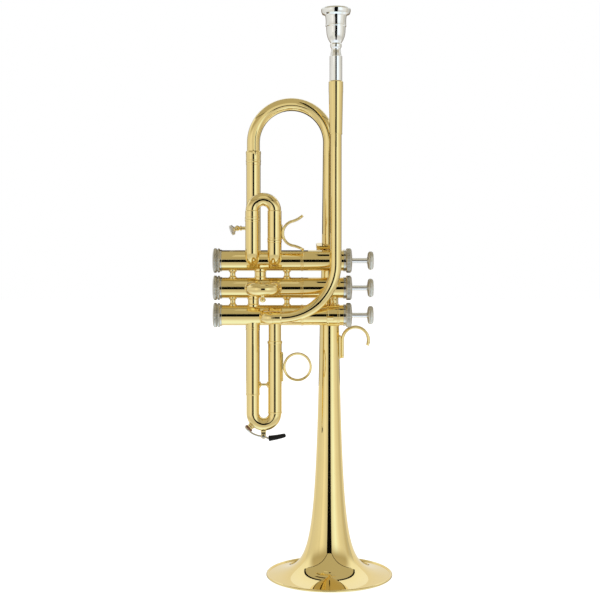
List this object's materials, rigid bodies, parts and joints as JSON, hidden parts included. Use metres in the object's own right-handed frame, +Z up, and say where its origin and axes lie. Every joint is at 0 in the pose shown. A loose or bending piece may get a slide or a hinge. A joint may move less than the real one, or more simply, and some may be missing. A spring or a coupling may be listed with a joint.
{
  "type": "trumpet",
  "caption": "High-pitched piston trumpet in lacquered brass, with sprung valves, pull-out slides, a water key and a silver-plated mouthpiece.",
  "frame": {"origin": "centre of the bell rim, on the plane that the bell stands on", "axes": "+Z up the bell's axis towards the mouthpiece, +X towards the finger buttons, +Y from the valve block towards the bell"},
  "size_m": [0.1728, 0.1262, 0.5439],
  "materials": {
    "brass": "polished, clear lacquer",
    "silver_plate": "polished silver plate",
    "nickel": "polished nickel plate",
    "piston_alloy": "lapped nickel alloy",
    "pearl": "mother-of-pearl inlay",
    "spring_steel": "bright wire",
    "felt": "felt",
    "cork": "cork",
    "rubber": "satin black"
  },
  "bodies": {
    "body": {"receiver": "brass", "leadpipe": "brass", "leadpipe_ferrule": "brass", "leadpipe_elbow": "brass", "return_tube": "brass", "return_elbow": "brass", "bell": "brass", "bell_rim_wire": "brass", "bell_tail_ferrule": "brass", "bell_brace": "brass", "casing_1": "brass", "casing_2": "brass", "casing_3": "brass", "upper_casings": "brass", "casing_struts": "brass", "crossover_tubes": "brass", "valve_guides": "piston_alloy", "bottom_caps": "nickel", "top_caps": "nickel", "cap_felts": "felt", "first_slide_tubes": "brass", "second_slide_tubes": "brass", "third_slide_tubes": "brass", "pinky_hook": "brass", "lyre_post": "brass", "spring_1": "spring_steel", "spring_2": "spring_steel", "spring_3": "spring_steel"},
    "mouthpiece": {"mouthpiece": "silver_plate"},
    "tuning_slide": {"tuning_bow": "brass", "bow_legs": "brass", "bow_ferrules": "brass"},
    "first_slide": {"first_slide_crook": "brass", "first_slide_legs": "brass", "thumb_saddle": "brass"},
    "second_slide": {"second_slide_crook": "brass", "second_slide_legs": "brass", "second_slide_knob": "brass"},
    "third_slide": {"third_slide_sleeves": "brass", "third_slide_crook": "brass", "third_slide_brace": "brass", "finger_ring": "brass", "water_key_post": "brass", "water_key_pivot": "nickel"},
    "water_key": {"water_key_lever": "nickel", "water_key_cork": "cork", "water_key_grip": "rubber"},
    "valve_1": {"piston_1": "piston_alloy", "stem_1": "nickel", "button_1": "nickel", "pearl_1": "pearl"},
    "valve_2": {"piston_2": "piston_alloy", "stem_2": "nickel", "button_2": "nickel", "pearl_2": "pearl"},
    "valve_3": {"piston_3": "piston_alloy", "stem_3": "nickel", "button_3": "nickel", "pearl_3": "pearl"},
    "lyre_screw": {"lyre_screw": "nickel"}
  },
  "joints": [
    {"name": "mouthpiece_pull", "type": "slide", "parent": "body", "child": "mouthpiece", "axis": [0, 0, 1], "range_m": [0, 0.03]},
    {"name": "tuning_slide_pull", "type": "slide", "parent": "body", "child": "tuning_slide", "axis": [0, 0, 1], "range_m": [0, 0.015]},
    {"name": "first_slide_pull", "type": "slide", "parent": "body", "child": "first_slide", "axis": [0, 0, 1], "range_m": [0, 0.012]},
    {"name": "second_slide_pull", "type": "slide", "parent": "body", "child": "second_slide", "axis": [0, -1, 0], "range_m": [0, 0.007]},
    {"name": "third_slide_pull", "type": "slide", "parent": "body", "child": "third_slide", "axis": [0, 0, -1], "range_m": [0, 0.025]},
    {"name": "water_key_open", "type": "hinge", "parent": "third_slide", "child": "water_key", "pos_m": [-0.0635, -0.023, 0.1396], "axis": [0, -1, 0], "range_deg": [0, 16], "stiffness_Nm_per_rad": 0.03, "springref_deg": -28.65},
    {"name": "lyre_screw_turn", "type": "hinge", "parent": "body", "child": "lyre_screw", "pos_m": [-0.0896, 0, 0.3386], "axis": [-0.9397, 0, -0.342], "range_deg": [0, 360]},
    {"name": "valve_1_press", "type": "slide", "parent": "body", "child": "valve_1", "axis": [-1, 0, 0], "range_m": [0, 0.014], "stiffness_N_per_m": 160, "springref_m": -0.012, "deforming": ["spring_1"]},
    {"name": "valve_2_press", "type": "slide", "parent": "body", "child": "valve_2", "axis": [-1, 0, 0], "range_m": [0, 0.014], "stiffness_N_per_m": 160, "springref_m": -0.012, "deforming": ["spring_2"]},
    {"name": "valve_3_press", "type": "slide", "parent": "body", "child": "valve_3", "axis": [-1, 0, 0], "range_m": [0, 0.014], "stiffness_N_per_m": 160, "springref_m": -0.012, "deforming": ["spring_3"]}
  ]
}
